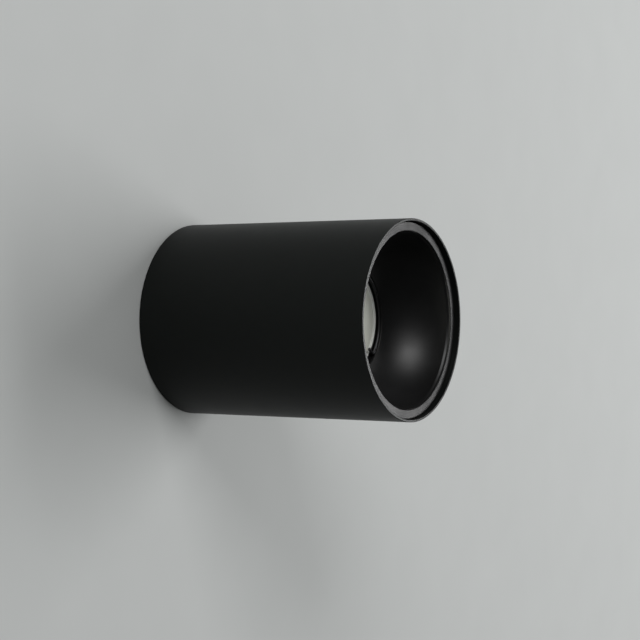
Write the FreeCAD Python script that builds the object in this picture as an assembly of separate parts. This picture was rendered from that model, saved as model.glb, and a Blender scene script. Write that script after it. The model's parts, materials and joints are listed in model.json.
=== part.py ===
import FreeCAD, Part
import math
import os
from FreeCAD import Vector

# A round spotlight that hangs under a ceiling. Millimetres. The ceiling is the plane z = 0, the body hangs
# below it along -Z, and the ceiling screws lie along X.

# Body tube: an extrusion with three C-shaped screw ports, turned out at both ends
body_dia = 96.0
body_height = 126.0
tube_wall = 1.2
ceiling_gap = 0.3
rim_chamfer = 0.15
port_r = 3.3
port_inset = 2.9
port_bore_r = 1.45
port_mouth = 1.4
port_length = 32.0
port_count = 3
first_port_angle = 90.0

# Mounting bar on the ceiling, with a bush round the supply cable
bar_thickness = 1.5
bar_width = 22.0
bar_end_gap = 2.8
ceiling_screw_spacing = 52.0
ceiling_slot_length = 12.0
ceiling_slot_width = 4.5
bush_bore_r = 6.6
bush_wall = 1.4
bush_flange_width = 1.6
bush_flange_height = 1.0

# Headed studs on the bar, and the base disc that hangs on them
stud_edge = 4.2
stud_tail_r = 1.5
stud_neck_r = 2.0
stud_head_r = 3.8
stud_head_height = 2.0
stud_head_chamfer = 0.6
stud_slot_gap = 0.2
stud_entry_gap = 0.5
stud_seat_gap = 0.1
housing_twist_deg = 15.0
disc_drop = 3.0
disc_thickness = 1.5
disc_fit = 0.3
disc_window_r = 19.0
disc_screw_length = 11.0
disc_screw_head_r = 2.6
disc_screw_head_height = 1.9
disc_screw_hole_gap = 0.3

# Strap that carries the lampholder and the terminal block
strap_thickness = 1.2
strap_width = 14.0
strap_foot = 9.0
strap_bend_r = 2.1
rivet_r = 1.6
rivet_head_r = 2.9
rivet_head_height = 0.8

# Lamp: a 50 mm reflector lamp with two headed pins, 10 mm apart
lamp_dia = 50.0
lamp_length = 54.0
lamp_front_band = 7.5
lamp_shell = 1.0
lamp_bezel_width = 1.25
lamp_bezel_height = 0.8
lamp_bezel_round = 0.4
lens_thickness = 2.0
lens_seat = 1.0
lens_rim_width = 0.45
lens_rim_drop = 0.15
lens_rim_round = 0.15
lens_rise = 0.15
lens_fit = 0.1
lamp_neck_r = 15.0
lamp_neck_height = 3.0
lamp_base_r = 11.5
lamp_base_height = 10.0
lamp_base_chamfer = 1.0
lamp_base_socket = 2.0
pin_spacing = 10.0
pin_length = 7.4
pin_neck_r = 1.5
pin_head_r = 2.5
pin_head_height = 2.8
pin_root = 3.0
lamp_twist_deg = 30.0
led_depth = 9.0
led_board_thickness = 1.6
led_board_gap = 1.5
led_chip_size = 3.0
led_chip_height = 0.8
led_circle_r = 11.0
led_circle_count = 6

# Lampholder: ceramic cap and body, one pair of long screws through both
holder_r = 13.5
holder_flat = 9.5
holder_face_gap = 0.3
holder_cap_thickness = 3.5
holder_depth = 10.5
holder_cavity_r = 7.8
holder_screw_spacing = 20.4
holder_screw_r = 1.5
holder_screw_head_r = 2.6
holder_screw_head_height = 2.0
holder_screw_recess = 0.4
holder_screw_gap = 0.15
pin_slot_gap = 0.25
pin_entry_gap = 0.3
contact_gap = 0.3
contact_thickness = 0.4
contact_width = 2.6
contact_length = 8.2
contact_shift = 0.5
contact_tail_r = 0.6

# Terminal block, with room above it for the supply wires
wire_room = 10.5
pole_pitch = 9.0
pole_count = 3
block_depth = 17.0
block_base_height = 8.6
block_height = 13.0
block_end = 0.75
block_edge_round = 0.8
block_top_slope_share = 0.82
tower_r = 2.9
tower_pitch = 9.6
sleeve_r = 2.6
sleeve_bore_r = 1.5
sleeve_length = 15.0
sleeve_rise = 4.6
wire_screw_r = 1.3
wire_screw_recess = 1.0
driver_slot_width = 0.6
driver_slot_depth = 0.7
block_screw_r = 1.2
block_screw_gap = 0.15
block_screw_head_r = 2.1
block_screw_head_height = 1.6

# Leads and the earth point on the base disc
lead_r = 0.9
lead_hole_gap = 0.15
lead_reach = 20.5
lead_bend_r = 4.0
lead_in_sleeve = 5.0
earth_bend_r = 5.0
earth_edge_gap = 5.5
earth_palm_r = 3.8
earth_palm_thickness = 0.8
earth_barrel_r = 1.6
earth_barrel_length = 5.0
earth_barrel_gap = 1.0
earth_lead_grip = 3.5
earth_screw_r = 1.75
earth_screw_head_r = 3.1
earth_screw_head_height = 2.0

# Front ring with its skirt, held in the tube by leaf springs
ring_recess = 2.5
ring_fit = 0.4
ring_thickness = 1.0
ring_edge_round = 0.2
skirt_wall = 1.0
skirt_length = 18.0
spring_space = 2.2
spring_count = 3
first_spring_angle = 30.0
spring_thickness = 0.5
spring_gap = 0.3
spring_width = 8.0
spring_foot = 5.0
spring_bow_length = 11.0
spring_rivet_r = 1.1
spring_rivet_head_r = 1.7
spring_rivet_head_height = 0.6

# Reflector bowl: a curve from the lip to the aperture, then the collar round the lamp's front band. Each pair
# places a pole of the curve: its share of the way out to the lip, and its share of the depth
bowl_wall = 0.9
bowl_fit = 0.2
bowl_flange_width = 1.6
bowl_flange_thickness = 1.0
bowl_lip_flare = 0.45
bowl_lip_height = 0.9
ring_hole_step = 0.05
bowl_curve_shares = ((1.0, 0.417), (0.616, 0.801))
aperture_edge = 0.3
collar_height = 8.0
groove_catch = 0.65
groove_lip = 0.55
groove_gap = 0.1
retainer_wire_r = 0.5
retainer_gap_deg = 14.0
seat_gap = 0.05

# Snap ring in front of the lamp
lamp_front_gap = 0.25
snap_wire_r = 0.75
snap_overlap = 0.25
snap_ear_length = 3.2
snap_bend_r = 1.2
snap_gap_angle = 147.0
snap_gap_deg = 30.0

# How far a cutter runs past what it cuts
overrun = 1.0

# Levels and radii that follow from the sizes above
rim_z = -body_height
body_r = body_dia / 2
tube_inner_r = body_r - tube_wall
bar_low_z = -bar_thickness
disc_top_z = bar_low_z - disc_drop
disc_low_z = disc_top_z - disc_thickness
disc_r = tube_inner_r - disc_fit
stud_place_r = tube_inner_r - bar_end_gap - stud_edge
stud_head_top_z = disc_low_z - stud_seat_gap
port_place_r = tube_inner_r - port_inset

# The lamp and what carries it hang from the disc, below the wire room
block_top_z = disc_low_z - wire_room
bridge_top_z = block_top_z - block_height
block_base_z = bridge_top_z + block_base_height
sleeve_z = bridge_top_z + sleeve_rise
holder_top_z = bridge_top_z - strap_thickness
cap_top_z = holder_top_z - holder_depth
cap_low_z = cap_top_z - holder_cap_thickness
lamp_base_z = cap_low_z - holder_face_gap
pin_end_z = lamp_base_z + pin_length
pin_x = pin_spacing / 2
contact_z = pin_end_z + contact_gap
cavity_top_z = contact_z + contact_thickness
holder_lead_z = (cavity_top_z + holder_top_z) / 2
lamp_r = lamp_dia / 2
lamp_front_z = pin_end_z - lamp_length
bezel_top_z = lamp_front_z + lamp_bezel_height
lens_r = lamp_r - lamp_shell - lens_fit
led_floor_z = bezel_top_z + led_depth + led_board_thickness

# The strap's legs stand midway between the block and what the studs' heads leave free
block_half_x = pole_count * pole_pitch / 2 + block_end
strap_room = stud_place_r - stud_head_r - strap_foot - strap_thickness - block_half_x
strap_half_span = block_half_x + strap_room / 2 + strap_thickness
rivet_place_x = strap_half_span + (strap_foot + strap_thickness) / 2

# The earth point stands beside the tube's wall, and its lead rises midway between the block and the barrel
earth_point_r = tube_inner_r - earth_edge_gap - earth_palm_r
earth_mouth_y = -earth_point_r + earth_palm_r + earth_barrel_length
earth_riser_y = (earth_mouth_y - sleeve_length / 2) / 2
earth_lead_z = disc_low_z - earth_barrel_r

ring_r = tube_inner_r - ring_fit
ring_low_z = rim_z + ring_recess
ring_top_z = ring_low_z + ring_thickness
skirt_top_z = ring_top_z + skirt_length
skirt_outer_r = tube_inner_r - spring_space
skirt_inner_r = skirt_outer_r - skirt_wall
rivet_z = skirt_top_z - spring_foot / 2

# The bowl reaches from the ring to the snap ring in front of the lamp
bowl_flange_r = skirt_inner_r - bowl_fit
bowl_lip_r = bowl_flange_r - bowl_flange_width
bowl_mouth_r = bowl_lip_r + bowl_lip_flare
ring_hole_r = bowl_mouth_r + ring_hole_step
bowl_flange_top_z = ring_top_z + bowl_flange_thickness
lip_z = ring_top_z + bowl_lip_height
snap_place_r = lamp_r - snap_overlap + snap_wire_r
snap_z = lamp_front_z - lamp_front_gap - snap_wire_r
groove_top_z = snap_z + snap_wire_r + groove_gap
groove_low_z = snap_z - snap_wire_r - groove_gap
groove_r = snap_place_r + snap_wire_r + groove_gap
aperture_r = groove_r - groove_catch
aperture_z = groove_low_z - groove_lip
bowl_depth = aperture_z - lip_z
collar_outer_r = groove_r + bowl_wall
retainer_place_r = bowl_lip_r + bowl_wall + seat_gap + retainer_wire_r
retainer_z = bowl_flange_top_z + retainer_wire_r + seat_gap
retainer_groove_r = retainer_place_r + retainer_wire_r + seat_gap


def rod(radius, z_low, z_high, x=0.0, y=0.0):
    """A round bar along Z."""
    return Part.makeCylinder(radius, z_high - z_low, Vector(x, y, z_low))


def block(x_low, x_high, y_low, y_high, z_low, z_high):
    """A rectangular block between two corners."""
    size = Vector(x_high, y_high, z_high) - Vector(x_low, y_low, z_low)
    return Part.makeBox(size.x, size.y, size.z, Vector(x_low, y_low, z_low))


def turned(steps, start=0.0, sweep=360.0):
    """A profile turned about Z. A step is (radius, z): marked "via" it is the middle of an arc, and marked
    "pole" it bends a curve."""
    edges = []
    marked = []
    corner = steps[0]
    for step in steps[1:] + steps[:1]:
        if len(step) == 3:
            marked.append(step)
            continue
        points = [Vector(place[0], 0, place[1]) for place in [corner, *marked, step]]
        if not marked:
            edges.append(Part.LineSegment(*points).toShape())
        elif marked[0][2] == "via":
            edges.append(Part.Arc(*points).toShape())
        else:
            curve = Part.BezierCurve()
            curve.setPoles(points)
            edges.append(curve.toShape())
        corner = step
        marked = []
    solid = Part.Face(Part.Wire(edges)).revolve(Vector(0, 0, 0), Vector(0, 0, 1), sweep)
    return about_z(solid, start)


def about_z(shape, angle):
    """The shape turned about Z by an angle in degrees."""
    return shape.rotated(Vector(0, 0, 0), Vector(0, 0, 1), angle)


def around(shape, count, first_angle=0.0):
    """Copies of a shape, evenly spaced about Z."""
    return [about_z(shape, first_angle + i * 360.0 / count) for i in range(count)]


def ring(r_inner, r_outer, z_low, z_high):
    """A round ring about Z."""
    return turned([(r_inner, z_low), (r_outer, z_low), (r_outer, z_high), (r_inner, z_high)])


def slot(x, length, width, z_low, z_high):
    """A slot along X with round ends, centred at x."""
    half = (length - width) / 2
    ends = [rod(width / 2, z_low, z_high, x - half), rod(width / 2, z_low, z_high, x + half)]
    return block(x - half, x + half, -width / 2, width / 2, z_low, z_high).fuse(ends)


def keyhole(place_r, slot_half, entry_r, twist, z_low, z_high):
    """A curved slot from angle 0, with the round entry for a stud's head at the angle twist."""
    sides = [(place_r - slot_half, z_low), (place_r + slot_half, z_low)]
    tops = [(place_r + slot_half, z_high), (place_r - slot_half, z_high)]
    curved = turned(sides + tops, min(twist, 0.0), abs(twist))
    start = rod(slot_half, z_low, z_high, place_r)
    entry = about_z(rod(entry_r, z_low, z_high, place_r), twist)
    return curved.fuse([start, entry])


def rounded_path(points, bend_r):
    """An open wire through the points, with each corner turned by a tangent arc."""
    edges = []
    start = points[0]
    for before, corner, after in zip(points, points[1:], points[2:]):
        arriving = (corner - before).normalize()
        leaving = (after - corner).normalize()
        half_turn = arriving.getAngle(leaving) / 2
        inward = (leaving - arriving).normalize()
        arc_start = corner - arriving * (bend_r * math.tan(half_turn))
        arc_end = corner + leaving * (bend_r * math.tan(half_turn))
        arc_middle = corner + inward * (bend_r / math.cos(half_turn) - bend_r)
        edges.append(Part.LineSegment(start, arc_start).toShape())
        edges.append(Part.Arc(arc_start, arc_middle, arc_end).toShape())
        start = arc_end
    edges.append(Part.LineSegment(start, points[-1]).toShape())
    return Part.Wire(edges)


def wire_along(path, radius):
    """A round wire swept along a path."""
    direction = path.Edges[0].tangentAt(path.Edges[0].FirstParameter)
    start = path.Edges[0].valueAt(path.Edges[0].FirstParameter)
    section = Part.Wire(Part.makeCircle(radius, start, direction))
    return path.makePipeShell([section], True, True)


def corner_arc(before, corner, after, cut):
    """The steps of a tangent arc that takes a corner off a profile, a length cut from it on both sides."""
    corner_at = Vector(*corner)
    arriving = (corner_at - Vector(*before)).normalize()
    leaving = (Vector(*after) - corner_at).normalize()
    half_turn = arriving.getAngle(leaving) / 2
    inward = (leaving - arriving).normalize()
    depth = cut / math.tan(half_turn) * (1 / math.cos(half_turn) - 1)
    start = corner_at - arriving * cut
    middle = corner_at + inward * depth
    end = corner_at + leaving * cut
    return [(start.x, start.y), (middle.x, middle.y, "via"), (end.x, end.y)]


def joined(shape, *others):
    """Shapes of one piece, fused and with the seams taken out."""
    return shape.fuse(list(others)).removeSplitter()


def body_tube():
    """The tube, chamfered at its rim, with its screw ports."""
    c = rim_chamfer
    tube = turned([
        (tube_inner_r, rim_z + c),
        (tube_inner_r + c, rim_z),
        (body_r - c, rim_z),
        (body_r, rim_z + c),
        (body_r, -ceiling_gap - c),
        (body_r - c, -ceiling_gap),
        (tube_inner_r, -ceiling_gap),
    ])
    low = disc_low_z - port_length
    port = rod(port_r, low, disc_low_z, port_place_r)
    port = port.common(rod(tube_inner_r + tube_wall / 2, low, disc_low_z))
    mouth = block(port_place_r - port_r - overrun, port_place_r, -port_mouth / 2, port_mouth / 2,
                  low - overrun, disc_low_z + overrun)
    port = port.cut([rod(port_bore_r, low - overrun, disc_low_z + overrun, port_place_r), mouth])
    return joined(tube, *around(port, port_count, first_port_angle))


def mounting_bar():
    """A flat bar with round ends, slotted for the ceiling screws."""
    half = tube_inner_r - bar_end_gap
    bar = block(-half, half, -bar_width / 2, bar_width / 2, bar_low_z, 0.0)
    bar = bar.common(rod(half, bar_low_z, 0.0))
    low, high = bar_low_z - overrun, overrun
    cuts = [rod(bush_bore_r + bush_wall, low, high)]
    for side in (-1, 1):
        x = side * ceiling_screw_spacing / 2
        cuts.append(slot(x, ceiling_slot_length, ceiling_slot_width, low, high))
        cuts.append(rod(stud_tail_r, low, high, side * stud_place_r))
    return bar.cut(cuts)


def cable_bush():
    """A bush with its flange under the bar."""
    sleeve_r_out = bush_bore_r + bush_wall
    flange_r = sleeve_r_out + bush_flange_width
    flange_z = bar_low_z - bush_flange_height
    return turned([
        (bush_bore_r, flange_z),
        (flange_r, flange_z),
        (flange_r, bar_low_z),
        (sleeve_r_out, bar_low_z),
        (sleeve_r_out, 0.0),
        (bush_bore_r, 0.0),
    ])


def bayonet_studs():
    """Headed studs: a tail riveted flush in the bar, a neck, and a head under the base disc."""
    head_low_z = stud_head_top_z - stud_head_height
    c = stud_head_chamfer
    stud = turned([
        (0.0, head_low_z),
        (stud_head_r - c, head_low_z),
        (stud_head_r, head_low_z + c),
        (stud_head_r, stud_head_top_z),
        (stud_neck_r, stud_head_top_z),
        (stud_neck_r, bar_low_z),
        (stud_tail_r, bar_low_z),
        (stud_tail_r, 0.0),
        (0.0, 0.0),
    ])
    return around(stud.translated(Vector(stud_place_r, 0, 0)), 2)


def base_disc():
    """The disc on the screw ports, with its window, keyholes and screw holes."""
    low, high = disc_low_z - overrun, disc_top_z + overrun
    cuts = [rod(disc_window_r, low, high)]
    key = keyhole(stud_place_r, stud_neck_r + stud_slot_gap, stud_head_r + stud_entry_gap,
                  housing_twist_deg, low, high)
    cuts += around(key, 2)
    screw_hole = rod(port_bore_r + disc_screw_hole_gap, low, high, port_place_r)
    cuts += around(screw_hole, port_count, first_port_angle)
    cuts += around(rod(rivet_r, low, high, rivet_place_x), 2)
    cuts.append(rod(earth_screw_r, low, high, 0.0, -earth_point_r))
    return rod(disc_r, disc_low_z, disc_top_z).cut(cuts)


def pan_screw(shank_r, head_r, head_height, length):
    """A pan-head screw along Z, head upwards, with the underside of its head at z = 0."""
    screw = turned([
        (0.0, -length),
        (shank_r, -length),
        (shank_r, 0.0),
        (head_r, 0.0),
        (head_r, head_height / 2),
        (head_r / 2, head_height),
        (0.0, head_height),
    ])
    low, high = head_height - driver_slot_depth, head_height + overrun
    arm = block(-head_r / 2, head_r / 2, -driver_slot_width / 2, driver_slot_width / 2, low, high)
    return screw.cut([arm, about_z(arm, 90.0)])


def base_disc_screws():
    """The screws from the disc into the ports."""
    screw = pan_screw(port_bore_r, disc_screw_head_r, disc_screw_head_height, disc_screw_length)
    return around(screw.translated(Vector(port_place_r, 0, disc_top_z)), port_count, first_port_angle)


def holder_strap():
    """A bent strap: two feet under the disc, two legs and the bridge."""
    foot_z = disc_low_z - strap_thickness / 2
    bridge_z = bridge_top_z - strap_thickness / 2
    leg_x = strap_half_span - strap_thickness / 2
    foot_x = strap_half_span + strap_foot
    corners = [(-foot_x, foot_z), (-leg_x, foot_z), (-leg_x, bridge_z),
               (leg_x, bridge_z), (leg_x, foot_z), (foot_x, foot_z)]
    path = rounded_path([Vector(x, 0, z) for x, z in corners], strap_bend_r)
    half_w, half_t = strap_width / 2, strap_thickness / 2
    section = Part.makePolygon([
        Vector(-foot_x, -half_w, foot_z - half_t),
        Vector(-foot_x, half_w, foot_z - half_t),
        Vector(-foot_x, half_w, foot_z + half_t),
        Vector(-foot_x, -half_w, foot_z + half_t),
        Vector(-foot_x, -half_w, foot_z - half_t),
    ])
    strap = path.makePipeShell([section], True, False)
    low, high = holder_top_z - overrun, bridge_top_z + overrun
    cuts = around(rod(holder_screw_r, low, high, holder_screw_spacing / 2), 2)
    cuts += around(rod(block_screw_r, low, high, pole_pitch / 2), 2)
    rivet_hole = rod(rivet_r, disc_low_z - strap_thickness - overrun, disc_low_z + overrun, rivet_place_x)
    return strap.cut(cuts + around(rivet_hole, 2))


def strap_rivets():
    """Rivets through the strap's feet and the disc."""
    strap_low_z = disc_low_z - strap_thickness
    shank = rod(rivet_r, strap_low_z, disc_top_z, rivet_place_x)
    heads = []
    for z, step in ((strap_low_z, -rivet_head_height), (disc_top_z, rivet_head_height)):
        head = Part.makeCone(rivet_head_r, rivet_r, rivet_head_height, Vector(rivet_place_x, 0, z),
                             Vector(0, 0, math.copysign(1, step)))
        heads.append(head)
    return around(joined(shank, *heads), 2)


def holder_outline(z_low, z_high):
    """The lampholder's round plan with two flats."""
    plan = rod(holder_r, z_low, z_high)
    return plan.common(block(-holder_r, holder_r, -holder_flat, holder_flat, z_low, z_high))


def holder_screw_places(shape):
    """A shape at the two places of the long screws."""
    return around(shape.translated(Vector(holder_screw_spacing / 2, 0, 0)), 2)


def lampholder_cap():
    """The ceramic front plate, with a keyhole for each lamp pin."""
    low, high = cap_low_z - overrun, cap_top_z + overrun
    key = keyhole(pin_x, pin_neck_r + pin_slot_gap, pin_head_r + pin_entry_gap, -lamp_twist_deg, low, high)
    recess_z = cap_low_z + holder_screw_recess + holder_screw_head_height
    cuts = around(key, 2)
    cuts += holder_screw_places(rod(holder_screw_r + holder_screw_gap, low, high))
    cuts += holder_screw_places(rod(holder_screw_head_r + holder_screw_gap, low, recess_z))
    return holder_outline(cap_low_z, cap_top_z).cut(cuts)


def lampholder_body():
    """The ceramic back half: the cavity for the pins, lead holes and contact-tail holes."""
    low, high = cap_top_z - overrun, holder_top_z + overrun
    cuts = [rod(holder_cavity_r, low, cavity_top_z)]
    cuts += holder_screw_places(rod(holder_screw_r + holder_screw_gap, low, high))
    for side in (-1, 1):
        start = Vector(side * pin_x, -holder_flat - overrun, holder_lead_z)
        depth = holder_flat + overrun - contact_tail_y()
        cuts.append(Part.makeCylinder(lead_r + lead_hole_gap, depth, start, Vector(0, 1, 0)))
        cuts.append(rod(contact_tail_r, low, holder_lead_z, side * pin_x, -contact_tail_y()))
    return holder_outline(cap_top_z, holder_top_z).cut(cuts)


def contact_tail_y():
    """How far the contact tails stand from the lampholder's middle plane."""
    return contact_length / 2 + contact_shift - contact_width / 2


def holder_contacts():
    """Two contact blades on the cavity's roof, each with a tail up to its lead."""
    contacts = []
    for side in (-1, 1):
        x = side * pin_x
        blade = block(x - contact_width / 2, x + contact_width / 2, -contact_length / 2 - contact_shift,
                      contact_length / 2 - contact_shift, contact_z, cavity_top_z)
        blade = blade.common(rod(holder_cavity_r, contact_z, cavity_top_z))
        tail = rod(contact_tail_r, contact_z, holder_lead_z - lead_r, x, -contact_tail_y())
        contacts.append(joined(blade, tail))
    return contacts


def lampholder_screws():
    """Long screws, heads down in the cap, that end in the strap's bridge."""
    head_z = cap_low_z + holder_screw_recess + holder_screw_head_height
    length = bridge_top_z - head_z
    screw = pan_screw(holder_screw_r, holder_screw_head_r, holder_screw_head_height, length)
    screw = screw.rotated(Vector(0, 0, 0), Vector(1, 0, 0), 180.0)
    return holder_screw_places(screw.translated(Vector(0, 0, head_z)))


def pole_places():
    """The X of each pole."""
    return [(i - (pole_count - 1) / 2) * pole_pitch for i in range(pole_count)]


def terminal_block():
    """The block: a base with sloped shoulders, and two screw towers on each pole."""
    half_y = block_depth / 2
    shoulder = half_y * block_top_slope_share
    profile = Part.makePolygon([
        Vector(-block_half_x, -half_y, bridge_top_z),
        Vector(-block_half_x, half_y, bridge_top_z),
        Vector(-block_half_x, half_y, sleeve_z),
        Vector(-block_half_x, shoulder, block_base_z),
        Vector(-block_half_x, -shoulder, block_base_z),
        Vector(-block_half_x, -half_y, sleeve_z),
        Vector(-block_half_x, -half_y, bridge_top_z),
    ])
    base = Part.Face(profile).extrude(Vector(2 * block_half_x, 0, 0))
    uprights = [edge for edge in base.Edges
                if edge.BoundBox.ZLength > sleeve_rise / 2 and edge.BoundBox.YLength < seat_gap]
    base = base.makeFillet(block_edge_round, uprights)
    towers, cuts = [], []
    for x in pole_places():
        start = Vector(x, -half_y - overrun, sleeve_z)
        cuts.append(Part.makeCylinder(sleeve_r, 2 * (half_y + overrun), start, Vector(0, 1, 0)))
        for side in (-1, 1):
            y = side * tower_pitch / 2
            towers.append(rod(tower_r, sleeve_z, block_top_z, x, y))
            cuts.append(rod(wire_screw_r, sleeve_z, block_top_z + overrun, x, y))
    for side in (-1, 1):
        x = side * pole_pitch / 2
        cuts.append(rod(block_screw_r + block_screw_gap, bridge_top_z - overrun, block_top_z, x))
    return base.fuse(towers).removeSplitter().cut(cuts)


def terminal_sleeves():
    """Brass sleeves along Y, tapped from above for the wire screws."""
    sleeves = []
    for x in pole_places():
        start = Vector(x, -sleeve_length / 2, sleeve_z)
        sleeve = Part.makeCylinder(sleeve_r, sleeve_length, start, Vector(0, 1, 0))
        start = Vector(x, -sleeve_length / 2 - overrun, sleeve_z)
        cuts = [Part.makeCylinder(sleeve_bore_r, sleeve_length + 2 * overrun, start, Vector(0, 1, 0))]
        for side in (-1, 1):
            cuts.append(rod(wire_screw_r, sleeve_z, sleeve_z + sleeve_r + overrun, x, side * tower_pitch / 2))
        sleeves.append(sleeve.cut(cuts))
    return sleeves


def terminal_screws():
    """Wire screws: those on the lamp's side stand on the leads, those on the supply side are open."""
    top = block_top_z - wire_screw_recess
    screws = []
    for x in pole_places():
        for side, low in ((-1, sleeve_z + lead_r), (1, sleeve_z + sleeve_bore_r)):
            y = side * tower_pitch / 2
            screw = rod(wire_screw_r, low, top, x, y)
            cut = block(x - wire_screw_r, x + wire_screw_r, y - driver_slot_width / 2,
                        y + driver_slot_width / 2, top - driver_slot_depth, top + overrun)
            screws.append(screw.cut(cut))
    return screws


def terminal_fixing_screws():
    """Screws between the poles that hold the block on the strap."""
    screw = pan_screw(block_screw_r, block_screw_head_r, block_screw_head_height, block_base_z - holder_top_z)
    return around(screw.translated(Vector(pole_pitch / 2, 0, block_base_z)), 2)


def lamp_lead(side):
    """A lead from a hole in the lampholder's flat, round to its pole in the block."""
    pole_x = side * pole_pitch * (pole_count - 1) / 2
    sleeve_end_y = -sleeve_length / 2 + lead_in_sleeve
    path = rounded_path([
        Vector(side * pin_x, -contact_tail_y(), holder_lead_z),
        Vector(side * pin_x, -lead_reach, holder_lead_z),
        Vector(pole_x, -lead_reach, sleeve_z),
        Vector(pole_x, sleeve_end_y, sleeve_z),
    ], lead_bend_r)
    return wire_along(path, lead_r)


def lead_earth():
    """The lead from the middle pole up to the earth point on the disc."""
    path = rounded_path([
        Vector(0, -sleeve_length / 2 + lead_in_sleeve, sleeve_z),
        Vector(0, earth_riser_y, sleeve_z),
        Vector(0, earth_riser_y, earth_lead_z),
        Vector(0, earth_mouth_y - earth_lead_grip, earth_lead_z),
    ], earth_bend_r)
    return wire_along(path, lead_r)


def earth_terminal():
    """A ring terminal: the palm under the disc and the crimped barrel on the lead."""
    palm_low_z = disc_low_z - earth_palm_thickness
    barrel_low_y = -earth_point_r + earth_palm_r
    barrel_start = Vector(0, barrel_low_y, earth_lead_z)
    palm = rod(earth_palm_r, palm_low_z, disc_low_z, 0.0, -earth_point_r)
    neck = block(-earth_barrel_r, earth_barrel_r, -earth_point_r, barrel_low_y + earth_barrel_gap,
                 palm_low_z, disc_low_z)
    barrel = Part.makeCylinder(earth_barrel_r, earth_barrel_length, barrel_start, Vector(0, 1, 0))
    bore_start = barrel_start + Vector(0, earth_barrel_length - earth_lead_grip, 0)
    bore = Part.makeCylinder(lead_r, earth_lead_grip + overrun, bore_start, Vector(0, 1, 0))
    hole = rod(earth_screw_r, palm_low_z - overrun, disc_low_z + overrun, 0.0, -earth_point_r)
    return joined(palm, neck, barrel).cut([bore, hole])


def earth_screw():
    """The earth screw, head down, through the palm into the disc."""
    palm_low_z = disc_low_z - earth_palm_thickness
    screw = pan_screw(earth_screw_r, earth_screw_head_r, earth_screw_head_height, disc_top_z - palm_low_z)
    screw = screw.rotated(Vector(0, 0, 0), Vector(1, 0, 0), 180.0)
    return screw.translated(Vector(0, -earth_point_r, palm_low_z))


def rivet_cylinder(radius, x_low, x_high):
    """A round bar along X at the height of the spring rivets."""
    return Part.makeCylinder(radius, x_high - x_low, Vector(x_low, 0, rivet_z), Vector(1, 0, 0))


def front_ring():
    """The flat ring and its skirt, with a groove for the wire ring and holes for the rivets."""
    c = ring_edge_round
    half_groove = retainer_wire_r + seat_gap
    solid = turned([
        (ring_hole_r, ring_low_z + c),
        (ring_hole_r + c, ring_low_z),
        (ring_r - c, ring_low_z),
        (ring_r, ring_low_z + c),
        (ring_r, ring_top_z),
        (skirt_outer_r, ring_top_z),
        (skirt_outer_r, skirt_top_z),
        (skirt_inner_r, skirt_top_z),
        (skirt_inner_r, retainer_z + half_groove),
        (retainer_groove_r, retainer_z + half_groove),
        (retainer_groove_r, retainer_z - half_groove),
        (skirt_inner_r, retainer_z - half_groove),
        (skirt_inner_r, ring_top_z),
        (ring_hole_r, ring_top_z),
    ])
    hole = rivet_cylinder(spring_rivet_r, skirt_inner_r - overrun, skirt_outer_r + overrun)
    return solid.cut(around(hole, spring_count, first_spring_angle))


def bowl_poles(throat_r, mouth_r):
    """The two poles of the bowl's curve between its throat and its mouth, the throat's first."""
    span = mouth_r - throat_r
    poles = [(throat_r + out * span, lip_z + up * bowl_depth) for out, up in bowl_curve_shares]
    return poles[::-1]


def reflector_bowl():
    """The bowl, turned from one profile: flange, flared lip, curve, aperture edge, ring groove and collar."""
    collar_inner_r = lamp_r + snap_overlap + seat_gap
    collar_top_z = aperture_z + collar_height
    inner_poles = bowl_poles(aperture_r, bowl_lip_r)
    outer_poles = bowl_poles(collar_outer_r, bowl_lip_r + bowl_wall)
    edge = corner_arc((aperture_r, groove_low_z), (aperture_r, aperture_z), inner_poles[0], aperture_edge)
    return turned([
        (bowl_mouth_r, ring_top_z),
        (bowl_flange_r, ring_top_z),
        (bowl_flange_r, bowl_flange_top_z),
        (bowl_lip_r + bowl_wall, bowl_flange_top_z),
        (bowl_lip_r + bowl_wall, lip_z),
        (*outer_poles[1], "pole"),
        (*outer_poles[0], "pole"),
        (collar_outer_r, aperture_z),
        (collar_outer_r, collar_top_z),
        (collar_inner_r, collar_top_z),
        (collar_inner_r, groove_top_z),
        (groove_r, groove_top_z),
        (groove_r, groove_low_z),
        (aperture_r, groove_low_z),
        *edge,
        (*inner_poles[0], "pole"),
        (*inner_poles[1], "pole"),
        (bowl_lip_r, lip_z),
    ])


def bowl_retaining_ring():
    """A split wire ring behind the bowl's flange, sprung into the skirt's groove."""
    section = Part.makeCircle(retainer_wire_r, Vector(retainer_place_r, 0, retainer_z), Vector(0, 1, 0))
    sweep = 360.0 - retainer_gap_deg
    solid = Part.Face(Part.Wire(section)).revolve(Vector(0, 0, 0), Vector(0, 0, 1), sweep)
    return about_z(solid, first_port_angle + retainer_gap_deg / 2)


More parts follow.
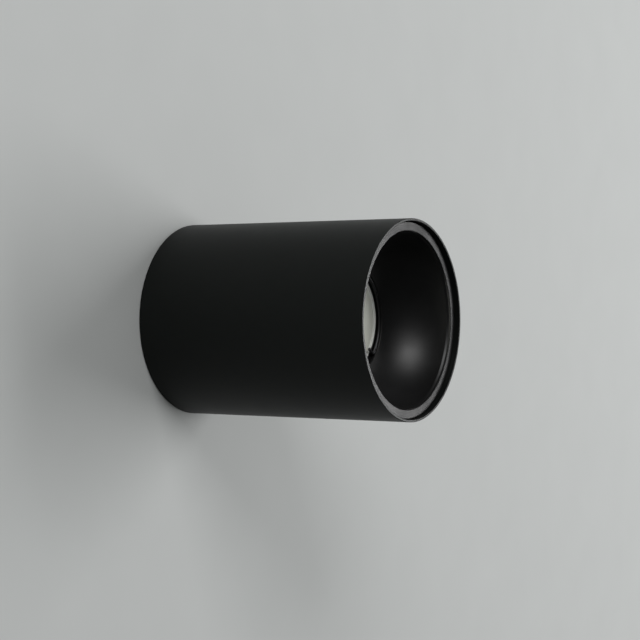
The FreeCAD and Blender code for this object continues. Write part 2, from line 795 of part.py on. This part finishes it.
def snap_ring():
    """A split wire ring whose two ends turn inwards as ears."""
    half_gap = math.radians(snap_gap_deg / 2)
    bend = snap_bend_r
    ring_r_mid = snap_place_r
    side_turn = math.asin(bend / (ring_r_mid - bend))
    bend_centre_r = ring_r_mid - bend
    edges = []

    def at(radius, angle):
        return Vector(radius * math.cos(angle), radius * math.sin(angle), snap_z)

    ears = []
    for sign in (1, -1):
        ear_angle = sign * half_gap
        centre_angle = ear_angle + sign * side_turn
        foot_r = bend_centre_r * math.cos(side_turn)
        tip = at(foot_r - snap_ear_length, ear_angle)
        foot = at(foot_r, ear_angle)
        centre = at(bend_centre_r, centre_angle)
        join = at(ring_r_mid, centre_angle)
        middle_way = ((foot - centre).normalize() + (join - centre).normalize()).normalize()
        ears.append((tip, foot, centre + middle_way * bend, join, centre_angle))
    tip, foot, middle, join, first_angle = ears[0]
    edges.append(Part.LineSegment(tip, foot).toShape())
    edges.append(Part.Arc(foot, middle, join).toShape())
    last_tip, last_foot, last_middle, last_join, last_angle = ears[1]
    quarter = at(ring_r_mid, math.pi)
    edges.append(Part.Arc(join, at(ring_r_mid, (first_angle + math.pi) / 2), quarter).toShape())
    edges.append(Part.Arc(quarter, at(ring_r_mid, (last_angle - math.pi) / 2), last_join).toShape())
    edges.append(Part.Arc(last_join, last_middle, last_foot).toShape())
    edges.append(Part.LineSegment(last_foot, last_tip).toShape())
    return about_z(wire_along(Part.Wire(edges), snap_wire_r), snap_gap_angle)


def spring_sweep():
    """The angle that a leaf spring's width takes on the skirt."""
    return math.degrees(spring_width / skirt_outer_r)


def leaf_spring(index):
    """A leaf spring: its foot on the skirt, then a bow that reaches out to the tube's wall."""
    foot_low_z = skirt_top_z - spring_foot
    bow_low_z = foot_low_z - spring_bow_length
    bow_mid_z = (foot_low_z + bow_low_z) / 2
    t = spring_thickness
    peak_r = tube_inner_r - spring_gap
    strip = turned([
        (skirt_outer_r, skirt_top_z),
        (skirt_outer_r, foot_low_z),
        (peak_r - t, bow_mid_z, "via"),
        (skirt_outer_r + seat_gap, bow_low_z),
        (skirt_outer_r + seat_gap + t, bow_low_z),
        (peak_r, bow_mid_z, "via"),
        (skirt_outer_r + t, foot_low_z),
        (skirt_outer_r + t, skirt_top_z),
    ], -spring_sweep() / 2, spring_sweep())
    strip = strip.cut(rivet_cylinder(spring_rivet_r, skirt_outer_r - overrun, peak_r + overrun))
    return around(strip, spring_count, first_spring_angle)[index]


def spring_rivets():
    """Rivets with their heads on the spring and inside the skirt."""
    inner_x = skirt_inner_r - spring_rivet_head_height
    outer_x = skirt_outer_r + spring_thickness + spring_rivet_head_height
    shank = rivet_cylinder(spring_rivet_r, inner_x, outer_x)
    heads = rivet_cylinder(spring_rivet_head_r, inner_x, outer_x)
    between = ring(skirt_inner_r, skirt_outer_r + spring_thickness, rivet_z - overrun - spring_rivet_head_r,
                   rivet_z + overrun + spring_rivet_head_r)
    return around(joined(heads.cut(between), shank), spring_count, first_spring_angle)


def lamp_housing():
    """The lamp's shell: a straight front band, a curved taper to the neck, and the LED chamber."""
    band_top_z = lamp_front_z + lamp_front_band
    neck_low_z = lamp_base_z - lamp_base_height - lamp_neck_height + lamp_base_socket
    neck_top_z = neck_low_z + lamp_neck_height
    socket_z = neck_top_z - lamp_base_socket
    seat_z = bezel_top_z + lens_thickness
    mid_r = (lamp_r + lamp_neck_r) / 2 + lamp_shell
    mid_z = (band_top_z + neck_low_z) / 2
    return turned([
        (lamp_r, bezel_top_z),
        (lamp_r, band_top_z),
        (mid_r, mid_z, "via"),
        (lamp_neck_r, neck_low_z),
        (lamp_neck_r, neck_top_z),
        (lamp_base_r, neck_top_z),
        (lamp_base_r, socket_z),
        (0.0, socket_z),
        (0.0, led_floor_z),
        (lens_r - lens_seat, led_floor_z),
        (lens_r - lens_seat, seat_z),
        (lamp_r - lamp_shell, seat_z),
        (lamp_r - lamp_shell, bezel_top_z),
    ])


def lamp_bezel():
    """The rim that holds the lens, rounded at its front."""
    inner_r = lamp_r - lamp_bezel_width
    c = lamp_bezel_round
    return turned([
        (inner_r, bezel_top_z),
        (inner_r, lamp_front_z + c),
        (inner_r + c, lamp_front_z),
        (lamp_r - c, lamp_front_z),
        (lamp_r, lamp_front_z + c),
        (lamp_r, bezel_top_z),
    ])


def lamp_lens():
    """The frosted lens: a slightly domed face inside a raised rim that the bezel holds."""
    c = lens_rim_round
    bezel_inner_r = lamp_r - lamp_bezel_width
    rim_inner_r = bezel_inner_r - lens_rim_width
    rim_low_z = lamp_front_z + lens_rim_drop
    return turned([
        (0.0, bezel_top_z + lens_thickness),
        (0.0, bezel_top_z - lens_rise),
        (rim_inner_r, bezel_top_z),
        (rim_inner_r, rim_low_z + c),
        (rim_inner_r + c, rim_low_z),
        (bezel_inner_r, rim_low_z),
        (bezel_inner_r, bezel_top_z),
        (lens_r, bezel_top_z),
        (lens_r, bezel_top_z + lens_thickness),
    ])


def lamp_base():
    """The lamp's base, seated in the neck, with holes for its pins."""
    socket_z = lamp_base_z - lamp_base_height
    c = lamp_base_chamfer
    solid = turned([
        (0.0, socket_z),
        (lamp_base_r, socket_z),
        (lamp_base_r, lamp_base_z - c),
        (lamp_base_r - c, lamp_base_z),
        (0.0, lamp_base_z),
    ])
    return solid.cut(around(rod(pin_neck_r, lamp_base_z - pin_root, lamp_base_z + overrun, pin_x), 2))


def lamp_pins():
    """Two headed pins."""
    head_low_z = pin_end_z - pin_head_height
    pin = turned([
        (0.0, lamp_base_z - pin_root),
        (pin_neck_r, lamp_base_z - pin_root),
        (pin_neck_r, head_low_z),
        (pin_head_r, head_low_z),
        (pin_head_r, pin_end_z),
        (0.0, pin_end_z),
    ])
    return around(pin.translated(Vector(pin_x, 0, 0)), 2)


def led_board():
    """The board on the chamber's floor."""
    return rod(lens_r - lens_seat - led_board_gap, led_floor_z - led_board_thickness, led_floor_z)


def led_chips():
    """One LED in the middle and a circle of them."""
    high = led_floor_z - led_board_thickness
    half = led_chip_size / 2
    chip = block(-half, half, -half, half, high - led_chip_height, high)
    return [chip] + around(chip.translated(Vector(led_circle_r, 0, 0)), led_circle_count)


def save(node, shape):
    """Writes one node: a single solid, or the separate solids of a set of like pieces."""
    solids = shape if isinstance(shape, list) else [shape]
    solids = [solid for item in solids for solid in item.Solids]
    whole = solids[0] if len(solids) == 1 else Part.makeCompound(solids)
    whole.exportStep("parts/" + node + ".step")


def main():
    os.makedirs("parts", exist_ok=True)
    save("mounting_bar", mounting_bar())
    save("bayonet_studs", bayonet_studs())
    save("cable_bush", cable_bush())
    save("body_tube", body_tube())
    save("base_disc", base_disc())
    save("base_disc_screws", base_disc_screws())
    save("holder_strap", holder_strap())
    save("strap_rivets", strap_rivets())
    save("lampholder_body", lampholder_body())
    save("lampholder_cap", lampholder_cap())
    save("holder_contacts", holder_contacts())
    save("lampholder_screws", lampholder_screws())
    save("terminal_block", terminal_block())
    save("terminal_sleeves", terminal_sleeves())
    save("terminal_screws", terminal_screws())
    save("terminal_fixing_screws", terminal_fixing_screws())
    save("lead_live", lamp_lead(-1))
    save("lead_neutral", lamp_lead(1))
    save("lead_earth", lead_earth())
    save("earth_terminal", earth_terminal())
    save("earth_screw", earth_screw())
    save("front_ring", front_ring())
    save("reflector_bowl", reflector_bowl())
    save("bowl_retaining_ring", bowl_retaining_ring())
    save("snap_ring", snap_ring())
    for i in range(spring_count):
        save("leaf_spring_" + str(i + 1), leaf_spring(i))
    save("spring_rivets", spring_rivets())
    save("lamp_housing", lamp_housing())
    save("lamp_bezel", lamp_bezel())
    save("lamp_lens", lamp_lens())
    save("lamp_base", lamp_base())
    save("lamp_pins", lamp_pins())
    save("led_board", led_board())
    save("led_chips", led_chips())


main()
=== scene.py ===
import json
import math

import bmesh
import bpy
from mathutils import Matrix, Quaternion, Vector


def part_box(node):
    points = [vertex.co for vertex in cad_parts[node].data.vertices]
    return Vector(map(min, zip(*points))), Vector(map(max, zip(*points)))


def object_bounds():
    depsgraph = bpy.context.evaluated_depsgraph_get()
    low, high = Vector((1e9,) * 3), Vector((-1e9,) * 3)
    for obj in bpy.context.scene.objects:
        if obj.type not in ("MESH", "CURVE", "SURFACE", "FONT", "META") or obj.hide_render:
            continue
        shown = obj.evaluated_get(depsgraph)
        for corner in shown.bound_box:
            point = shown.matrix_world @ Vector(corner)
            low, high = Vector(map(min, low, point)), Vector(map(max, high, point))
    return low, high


# A black spotlight that hangs under a pale ceiling. Metres, +Z up, and the ceiling is the plane z = 0.

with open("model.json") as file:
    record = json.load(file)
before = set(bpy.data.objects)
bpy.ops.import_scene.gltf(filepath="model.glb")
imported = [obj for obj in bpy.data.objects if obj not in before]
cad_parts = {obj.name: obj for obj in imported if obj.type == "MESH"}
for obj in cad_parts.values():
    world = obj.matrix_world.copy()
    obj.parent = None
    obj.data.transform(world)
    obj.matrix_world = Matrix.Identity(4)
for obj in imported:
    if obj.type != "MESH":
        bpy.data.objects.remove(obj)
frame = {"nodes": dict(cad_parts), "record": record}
cad_low, cad_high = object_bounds()
bar_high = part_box("mounting_bar")[1]
tube_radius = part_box("body_tube")[1].x
lens_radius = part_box("lamp_lens")[1].x
node_slot = {part["node"]: part["material_slot"] for part in frame["record"]["subparts"]}
materials = {}
MM = 0.001

# A Mix node's sockets share their labels, so they are taken by number: the share of B, then A, B and the
# result, as plain numbers or as colours
SHARE_OF_B = 0
NUMBER_A, NUMBER_B, NUMBER_OUT = 2, 3, 0
COLOUR_A, COLOUR_B, COLOUR_OUT = 6, 7, 2


def linear(hex_colour):
    """An sRGB hex colour as a linear colour, opaque."""
    channels = [int(hex_colour[i:i + 2], 16) / 255 for i in (1, 3, 5)]
    return (*[c / 12.92 if c <= 0.04045 else ((c + 0.055) / 1.055) ** 2.4 for c in channels], 1.0)


def add_node(tree, kind, inputs=None, **settings):
    """Adds a node with its settings. An input takes a value, or an output of another node as its link."""
    added = tree.nodes.new(kind)
    for name, value in settings.items():
        setattr(added, name, value)
    for name, value in (inputs or {}).items():
        if isinstance(value, bpy.types.NodeSocket):
            tree.links.new(value, added.inputs[name])
        else:
            added.inputs[name].default_value = value
    return added


def start_material(name):
    """An empty material, and the place on the object in metres. Each finish below builds on one."""
    material = bpy.data.materials.new(name)
    material.use_nodes = True
    material.node_tree.nodes.clear()
    materials[name] = material
    return material.node_tree, add_node(material.node_tree, "ShaderNodeTexCoord").outputs["Object"]


def anodised(name, dark, light, roughness, ior, grain_height):
    """Aluminium anodised black: an even film over a fine grain, which spreads what it mirrors.

    The real grain is finer and is drawn coarser, so that it shows.
    """
    film_size = 9 * MM
    grain_size = 0.5 * MM
    spread = 0.05
    tree, place = start_material(name)
    film = add_node(tree, "ShaderNodeTexNoise", {"Vector": place, "Scale": 1 / film_size, "Detail": 2.0})
    grain = add_node(tree, "ShaderNodeTexNoise", {"Vector": place, "Scale": 1 / grain_size, "Detail": 1.0})
    colour = add_node(tree, "ShaderNodeMix", data_type="RGBA", inputs={
        SHARE_OF_B: film.outputs["Fac"], COLOUR_A: linear(dark), COLOUR_B: linear(light)})
    gloss = add_node(tree, "ShaderNodeMapRange", {
        "Value": film.outputs["Fac"], "To Min": roughness - spread, "To Max": roughness + spread})
    bump = add_node(tree, "ShaderNodeBump", {"Height": grain.outputs["Fac"], "Distance": grain_height})
    shader = add_node(tree, "ShaderNodeBsdfPrincipled", {
        "Base Color": colour.outputs[COLOUR_OUT], "Roughness": gloss.outputs["Result"],
        "IOR": ior, "Normal": bump.outputs["Normal"]})
    add_node(tree, "ShaderNodeOutputMaterial", {"Surface": shader.outputs["BSDF"]})


def metal(name, dark, light, roughness, cloud_size, mark_size, mark_stretch=(1, 1, 1)):
    """A bare or plated metal: its colour clouds a little, and fine marks break up its gloss.

    The marks of the real one are finer and are drawn wider, so that they show.
    """
    mark_share = 0.6
    mark_depth = 0.003 * MM
    spread = 0.12
    tree, place = start_material(name)
    cloud = add_node(tree, "ShaderNodeTexNoise", {"Vector": place, "Scale": 1 / cloud_size, "Detail": 3.0})
    along = add_node(tree, "ShaderNodeMapping", {
        "Vector": place, "Scale": [1 / (mark_size * stretch) for stretch in mark_stretch]})
    mark = add_node(tree, "ShaderNodeTexNoise", {
        "Vector": along.outputs["Vector"], "Scale": 1.0, "Detail": 2.0})
    shade = add_node(tree, "ShaderNodeMix", {
        SHARE_OF_B: mark_share, NUMBER_A: cloud.outputs["Fac"], NUMBER_B: mark.outputs["Fac"]})
    colour = add_node(tree, "ShaderNodeMix", data_type="RGBA", inputs={
        SHARE_OF_B: shade.outputs[NUMBER_OUT], COLOUR_A: linear(dark), COLOUR_B: linear(light)})
    gloss = add_node(tree, "ShaderNodeMapRange", {
        "Value": mark.outputs["Fac"], "To Min": roughness - spread, "To Max": roughness + spread})
    bump = add_node(tree, "ShaderNodeBump", {"Height": mark.outputs["Fac"], "Distance": mark_depth})
    shader = add_node(tree, "ShaderNodeBsdfPrincipled", {
        "Base Color": colour.outputs[COLOUR_OUT], "Metallic": 1.0, "Roughness": gloss.outputs["Result"],
        "Normal": bump.outputs["Normal"]})
    add_node(tree, "ShaderNodeOutputMaterial", {"Surface": shader.outputs["BSDF"]})


def moulded(name, dark, light, roughness, ior, speck_size=0.3 * MM, speck_height=0.006 * MM):
    """A moulded or pressed part: an even colour with a fine grain."""
    cloud_size = 6 * MM
    spread = 0.06
    tree, place = start_material(name)
    cloud = add_node(tree, "ShaderNodeTexNoise", {"Vector": place, "Scale": 1 / cloud_size, "Detail": 2.0})
    speck = add_node(tree, "ShaderNodeTexNoise", {"Vector": place, "Scale": 1 / speck_size, "Detail": 1.0})
    colour = add_node(tree, "ShaderNodeMix", data_type="RGBA", inputs={
        SHARE_OF_B: cloud.outputs["Fac"], COLOUR_A: linear(dark), COLOUR_B: linear(light)})
    gloss = add_node(tree, "ShaderNodeMapRange", {
        "Value": speck.outputs["Fac"], "To Min": roughness - spread, "To Max": roughness + spread})
    bump = add_node(tree, "ShaderNodeBump", {"Height": speck.outputs["Fac"], "Distance": speck_height})
    shader = add_node(tree, "ShaderNodeBsdfPrincipled", {
        "Base Color": colour.outputs[COLOUR_OUT], "IOR": ior, "Roughness": gloss.outputs["Result"],
        "Normal": bump.outputs["Normal"]})
    add_node(tree, "ShaderNodeOutputMaterial", {"Surface": shader.outputs["BSDF"]})


# Matt black powder coat on aluminium: a very dark, soft sheen that grows toward the tube's outline, and the
# fine grain of the baked powder. It is thin and smooth in a line along the middle of the tube's lower rim,
# which mirrors as a metal does.
film_size = 12 * MM
powder_size = 0.6 * MM
powder_height = 0.01 * MM
rim_face_z = cad_low.z + 0.05 * MM
rim_fade = 0.05 * MM
worn_line_radius = tube_radius - 0.6 * MM
worn_line_half_width = 0.25 * MM
worn_line_fade = 0.17 * MM
worn_roughness = 0.24

tree, place = start_material("powder_coated_aluminium")
film = add_node(tree, "ShaderNodeTexNoise", {"Vector": place, "Scale": 1 / film_size, "Detail": 2.0})
powder = add_node(tree, "ShaderNodeTexNoise", {"Vector": place, "Scale": 1 / powder_size, "Detail": 1.0})
height = add_node(tree, "ShaderNodeSeparateXYZ", {"Vector": place}).outputs["Z"]
on_rim_face = add_node(tree, "ShaderNodeMapRange", {
    "Value": height, "From Min": rim_face_z + rim_fade, "From Max": rim_face_z})
across = add_node(tree, "ShaderNodeVectorMath", {0: place, 1: (1.0, 1.0, 0.0)}, operation="MULTIPLY")
from_axis = add_node(tree, "ShaderNodeVectorMath", {0: across.outputs["Vector"]}, operation="LENGTH")
offset = add_node(tree, "ShaderNodeMath", {0: from_axis.outputs["Value"], 1: worn_line_radius},
                  operation="SUBTRACT")
from_line = add_node(tree, "ShaderNodeMath", {0: offset.outputs["Value"]}, operation="ABSOLUTE")
on_line = add_node(tree, "ShaderNodeMapRange", {
    "Value": from_line.outputs["Value"], "From Min": worn_line_half_width + worn_line_fade,
    "From Max": worn_line_half_width})
worn = add_node(tree, "ShaderNodeMath", {0: on_rim_face.outputs["Result"], 1: on_line.outputs["Result"]},
                operation="MULTIPLY")
black = add_node(tree, "ShaderNodeMix", data_type="RGBA", inputs={
    SHARE_OF_B: film.outputs["Fac"], COLOUR_A: linear("#141615"), COLOUR_B: linear("#171918")})
colour = add_node(tree, "ShaderNodeMix", data_type="RGBA", inputs={
    SHARE_OF_B: worn.outputs["Value"], COLOUR_A: black.outputs[COLOUR_OUT], COLOUR_B: linear("#676868")})
matt = add_node(tree, "ShaderNodeMapRange", {"Value": film.outputs["Fac"], "To Min": 0.42, "To Max": 0.48})
gloss = add_node(tree, "ShaderNodeMix", {
    SHARE_OF_B: worn.outputs["Value"], NUMBER_A: matt.outputs["Result"], NUMBER_B: worn_roughness})
bump = add_node(tree, "ShaderNodeBump", {"Height": powder.outputs["Fac"], "Distance": powder_height})
shader = add_node(tree, "ShaderNodeBsdfPrincipled", {
    "Base Color": colour.outputs[COLOUR_OUT], "Metallic": worn.outputs["Value"],
    "Roughness": gloss.outputs[NUMBER_OUT], "IOR": 1.2, "Normal": bump.outputs["Normal"]})
add_node(tree, "ShaderNodeOutputMaterial", {"Surface": shader.outputs["BSDF"]})

# The ring is turned and anodised: its black is smoother and mirrors more, so it shows a pale band
anodised("ring_black_aluminium", "#1C1C1D", "#212122", roughness=0.24, ior=1.95, grain_height=0.002 * MM)
# The bowl is spun and anodised a dull black, with one broad soft highlight
anodised("bowl_black_aluminium", "#0F0F10", "#121213", roughness=0.42, ior=1.52, grain_height=0.003 * MM)

# Clear zinc plate: cool grey with faint clouds, over the rolling marks of the steel, which run along the bar
metal("zinc_plated_steel", "#999EA3", "#D3D4D1", roughness=0.36, cloud_size=6 * MM, mark_size=0.7 * MM,
      mark_stretch=(16, 1, 1))
# Hard rolled spring strip: smooth and darker, with marks along the roll
metal("spring_steel", "#96989A", "#B2B4B5", roughness=0.3, cloud_size=6 * MM, mark_size=0.3 * MM,
      mark_stretch=(1, 1, 8))
# Blackened spring wire: a dull dark grey
metal("black_spring_steel", "#454547", "#565658", roughness=0.38, cloud_size=2 * MM, mark_size=0.3 * MM)
# Brass, pressed or bored from bar, with light tarnish: yellow, browner in places
metal("contact_brass", "#A98443", "#D2B26C", roughness=0.33, cloud_size=3 * MM, mark_size=0.3 * MM)
# Nickel plate over brass pins: warm, smooth and bright
metal("nickel_plated_brass", "#B6B0A3", "#CDC8BE", roughness=0.25, cloud_size=3 * MM, mark_size=0.3 * MM)

# Pressed and fired steatite: warm white, dull, with a fine grain
moulded("steatite_ceramic", "#E2DCCD", "#EEE9DD", roughness=0.45, ior=1.6, speck_size=0.25 * MM,
        speck_height=0.012 * MM)
# Moulded polyamide, for the terminal block, the cable bush and the lamp's body: an even colour, a soft shine
moulded("block_plastic", "#E1DFD6", "#EBE9E1", roughness=0.4, ior=1.53)
moulded("bush_plastic", "#1F1F20", "#262627", roughness=0.45, ior=1.53)
moulded("lamp_base_plastic", "#DCDCD7", "#E6E6E1", roughness=0.42, ior=1.53)
moulded("lamp_shell_black", "#151516", "#1A1A1B", roughness=0.4, ior=1.53)
# The board's solder mask is a clean white, and the phosphor over its light chips is yellow
moulded("board_white", "#E8E9E6", "#F0F1EE", roughness=0.4, ior=1.5)
moulded("led_yellow", "#E3BE3E", "#EBCB55", roughness=0.35, ior=1.5)

# Extruded silicone insulation of the leads: plain colours with a soft sheen
silicone_ior = 1.41
silicone_roughness = 0.5
moulded("lead_brown", "#4E2C1B", "#5A3522", roughness=silicone_roughness, ior=silicone_ior)
moulded("lead_blue", "#24539B", "#2C5FAB", roughness=silicone_roughness, ior=silicone_ior)

# The earth lead has the same silicone in green, with a yellow stripe pressed in along each side
stripe_start = 0.6 * MM
stripe_blur = 0.04 * MM
speck_size = 0.3 * MM
speck_height = 0.006 * MM
spread = 0.06

tree, place = start_material("lead_green_yellow")
side = add_node(tree, "ShaderNodeSeparateXYZ", {"Vector": place}).outputs["X"]
from_middle = add_node(tree, "ShaderNodeMath", {0: side}, operation="ABSOLUTE")
stripe = add_node(tree, "ShaderNodeMapRange", {
    "Value": from_middle.outputs["Value"], "From Min": stripe_start, "From Max": stripe_start + stripe_blur})
speck = add_node(tree, "ShaderNodeTexNoise", {"Vector": place, "Scale": 1 / speck_size, "Detail": 1.0})
colour = add_node(tree, "ShaderNodeMix", data_type="RGBA", inputs={
    SHARE_OF_B: stripe.outputs["Result"], COLOUR_A: linear("#2C7A38"), COLOUR_B: linear("#E0C52B")})
gloss = add_node(tree, "ShaderNodeMapRange", {
    "Value": speck.outputs["Fac"], "To Min": silicone_roughness - spread,
    "To Max": silicone_roughness + spread})
bump = add_node(tree, "ShaderNodeBump", {"Height": speck.outputs["Fac"], "Distance": speck_height})
shader = add_node(tree, "ShaderNodeBsdfPrincipled", {
    "Base Color": colour.outputs[COLOUR_OUT], "IOR": silicone_ior, "Roughness": gloss.outputs["Result"],
    "Normal": bump.outputs["Normal"]})
add_node(tree, "ShaderNodeOutputMaterial", {"Surface": shader.outputs["BSDF"]})

# Moulded and frosted polycarbonate lens: an even pale face with a fine grain, and a raised rim painted
# paler, a painted glow that stands in for light on the rim
frost_size = 0.4 * MM
frost_height = 0.006 * MM
rim_start = lens_radius - 1.9 * MM
rim_full = lens_radius - 1.1 * MM

tree, place = start_material("frosted_lens")
frost = add_node(tree, "ShaderNodeTexNoise", {"Vector": place, "Scale": 1 / frost_size, "Detail": 2.0})
across = add_node(tree, "ShaderNodeVectorMath", {0: place, 1: (1.0, 1.0, 0.0)}, operation="MULTIPLY")
from_axis = add_node(tree, "ShaderNodeVectorMath", {0: across.outputs["Vector"]}, operation="LENGTH")
# Painted highlight: toward its raised rim the lens is painted paler than its face, as though lit more
# strongly there
rim_glow = add_node(tree, "ShaderNodeMapRange", {
    "Value": from_axis.outputs["Value"], "From Min": rim_start, "From Max": rim_full})
colour = add_node(tree, "ShaderNodeMix", data_type="RGBA", inputs={
    SHARE_OF_B: rim_glow.outputs["Result"], COLOUR_A: linear("#EFF0E5"), COLOUR_B: linear("#FDFEF9")})
gloss = add_node(tree, "ShaderNodeMapRange", {"Value": frost.outputs["Fac"], "To Min": 0.3, "To Max": 0.42})
bump = add_node(tree, "ShaderNodeBump", {"Height": frost.outputs["Fac"], "Distance": frost_height})
shader = add_node(tree, "ShaderNodeBsdfPrincipled", {
    "Base Color": colour.outputs[COLOUR_OUT], "IOR": 1.58, "Roughness": gloss.outputs["Result"],
    "Normal": bump.outputs["Normal"]})
add_node(tree, "ShaderNodeOutputMaterial", {"Surface": shader.outputs["BSDF"]})

for name, cad_object in frame["nodes"].items():
    for holder in cad_object.material_slots:
        holder.material = materials[node_slot[name]]

# The ceiling: a wide pale sheet, clear from behind so that the mount can be seen. It is open above the
# mounting bar, to let light in from above, and closed over the tube's wall, so that none shows in the gap.

hole_clearance = 0.1 * MM
ceiling_hole_radius = math.hypot(bar_high.x, bar_high.y) + hole_clearance
ceiling_radius = 6.0
ceiling_sides = 96
turns = [math.tau * side / ceiling_sides for side in range(ceiling_sides)]
outward = [Vector((math.cos(turn), math.sin(turn), 0.0)) for turn in turns]
shape = bmesh.new()
hole = [shape.verts.new(way * ceiling_hole_radius) for way in outward]
edge = [shape.verts.new(way * ceiling_radius) for way in outward]
for side in range(ceiling_sides):
    after = (side + 1) % ceiling_sides
    shape.faces.new((hole[side], hole[after], edge[after], edge[side]))
shape.normal_update()
for face in shape.faces:
    if face.normal.z > 0:
        face.normal_flip()
mesh = bpy.data.meshes.new("ceiling")
shape.to_mesh(mesh)
shape.free()
ceiling = bpy.data.objects.new("ceiling", mesh)
bpy.context.scene.collection.objects.link(ceiling)

# Matt ceiling paint, rolled on: pale grey, with the faint unevenness of a roller
roller_size = 40 * MM

tree, place = start_material("matt_ceiling_paint")
roller = add_node(tree, "ShaderNodeTexNoise", {"Vector": place, "Scale": 1 / roller_size, "Detail": 2.0})
colour = add_node(tree, "ShaderNodeMix", data_type="RGBA", inputs={
    SHARE_OF_B: roller.outputs["Fac"], COLOUR_A: linear("#CBCDCC"), COLOUR_B: linear("#CFD1D0")})
paint = add_node(tree, "ShaderNodeBsdfDiffuse", {"Color": colour.outputs[COLOUR_OUT]})
clear = add_node(tree, "ShaderNodeBsdfTransparent")
behind = add_node(tree, "ShaderNodeNewGeometry").outputs["Backfacing"]
shown = add_node(tree, "ShaderNodeMixShader", {
    0: behind, 1: paint.outputs["BSDF"], 2: clear.outputs["BSDF"]})
add_node(tree, "ShaderNodeOutputMaterial", {"Surface": shown.outputs["Shader"]})
mesh.materials.append(materials["matt_ceiling_paint"])

# Light: a room that is pale above the ceiling and dim below it, and two large soft lamps below the ceiling.
# The room looks pale wherever it is seen behind the spotlight. What mirrors the room below the ceiling finds
# it darker still, because the photograph's bowl and tube mirror the lamps and the ceiling and little else.

pale_strength = 0.85
dim_strength = 0.36
mirrored_strength = 0.08
horizon_blur = 0.02

world = bpy.data.worlds.new("room")
world.use_nodes = True
tree = world.node_tree
tree.nodes.clear()
toward = add_node(tree, "ShaderNodeTexCoord").outputs["Generated"]
upward = add_node(tree, "ShaderNodeSeparateXYZ", {"Vector": toward}).outputs["Z"]
path = add_node(tree, "ShaderNodeLightPath")
below = add_node(tree, "ShaderNodeMix", {
    SHARE_OF_B: path.outputs["Is Glossy Ray"], NUMBER_A: dim_strength, NUMBER_B: mirrored_strength})
level = add_node(tree, "ShaderNodeMapRange", {
    "Value": upward, "From Min": -horizon_blur, "From Max": horizon_blur,
    "To Min": below.outputs[NUMBER_OUT], "To Max": pale_strength})
seen = add_node(tree, "ShaderNodeMath", operation="MAXIMUM", inputs={
    0: path.outputs["Is Camera Ray"], 1: path.outputs["Is Transmission Ray"]})
strength = add_node(tree, "ShaderNodeMix", {
    SHARE_OF_B: seen.outputs["Value"], NUMBER_A: level.outputs["Result"], NUMBER_B: pale_strength})
room = add_node(tree, "ShaderNodeBackground", {
    "Color": linear("#C6C8C7"), "Strength": strength.outputs[NUMBER_OUT]})
add_node(tree, "ShaderNodeOutputWorld", {"Surface": room.outputs["Background"]})
bpy.context.scene.world = world


def soft_lamp(name, turn, drop, width, height, power):
    """A rectangular lamp, turned from +X toward +Y and dropped below the horizon in degrees."""
    distance = 2.0
    lamp = bpy.data.objects.new(name, bpy.data.lights.new(name, "AREA"))
    lamp.data.shape = "RECTANGLE"
    lamp.data.size = width
    lamp.data.size_y = height
    lamp.data.energy = power
    lamp.visible_camera = False
    turn = math.radians(turn)
    drop = math.radians(drop)
    middle = (cad_low + cad_high) / 2
    away = Vector((math.cos(drop) * math.cos(turn), math.cos(drop) * math.sin(turn), -math.sin(drop)))
    lamp.location = middle + away * distance
    lamp.rotation_euler = (-away).to_track_quat("-Z", "Y").to_euler()
    bpy.context.scene.collection.objects.link(lamp)


soft_lamp("key_lamp", turn=82, drop=48, width=1.5, height=0.75, power=22.5)
soft_lamp("side_lamp", turn=322, drop=29, width=1.0, height=1.0, power=16.2)

# The camera looks up past the tube and is turned on its side, so the ceiling is on the picture's left

film_width = 36.0
lens_length = 93.08
camera_distance = 0.806
camera_tilt = math.radians(31.87)
camera_roll = math.radians(-89.7)
camera_aim = Vector((-0.0001, 0.0, -0.0739))

camera = bpy.data.objects.new("camera", bpy.data.cameras.new("camera"))
camera.data.sensor_width = film_width
camera.data.lens = lens_length
camera_look = Vector((0.0, math.cos(camera_tilt), math.sin(camera_tilt)))
camera.location = camera_aim - camera_look * camera_distance
on_its_side = Quaternion((0, 0, 1), camera_roll)
camera.rotation_euler = (camera_look.to_track_quat("-Z", "Y") @ on_its_side).to_euler()
bpy.context.scene.collection.objects.link(camera)
bpy.context.scene.camera = camera
bpy.context.scene.view_settings.view_transform = "Standard"
